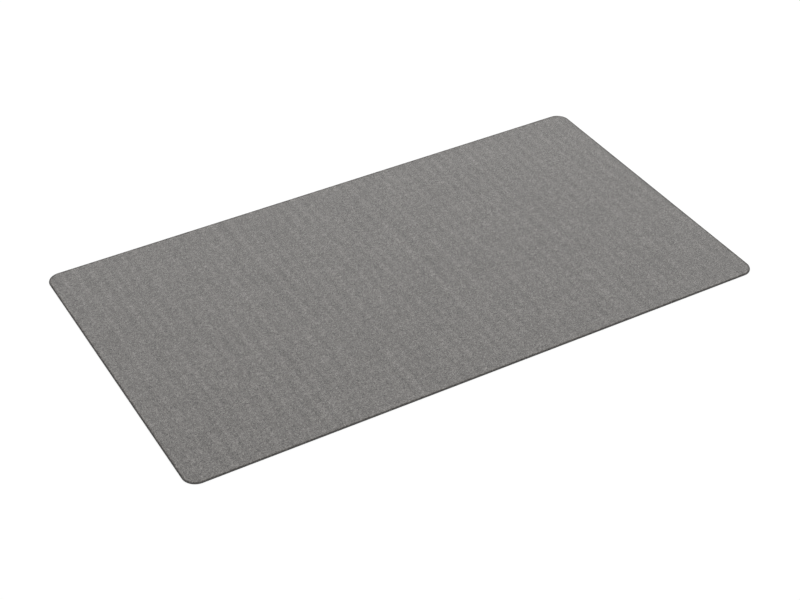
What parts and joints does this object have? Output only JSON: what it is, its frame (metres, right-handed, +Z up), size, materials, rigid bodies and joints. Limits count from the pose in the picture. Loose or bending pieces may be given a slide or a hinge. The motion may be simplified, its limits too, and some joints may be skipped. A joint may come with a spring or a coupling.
{
  "type": "desk mat",
  "caption": "Flat rectangular desk mat with rounded corners: melange felt surface bonded to a dark non-slip rubber base.",
  "frame": {"origin": "middle of the underside, on the desk", "axes": "+X along the long side, +Y along the short side, +Z up through the thickness"},
  "size_m": [0.9, 0.5, 0.002],
  "materials": {
    "base_rubber": "matte",
    "hot_melt_film": "satin",
    "melange_felt": "matte"
  },
  "bodies": {
    "root": {"nonslip_base": "base_rubber", "bonding_film": "hot_melt_film", "felt_surface": "melange_felt"}
  },
  "joints": []
}
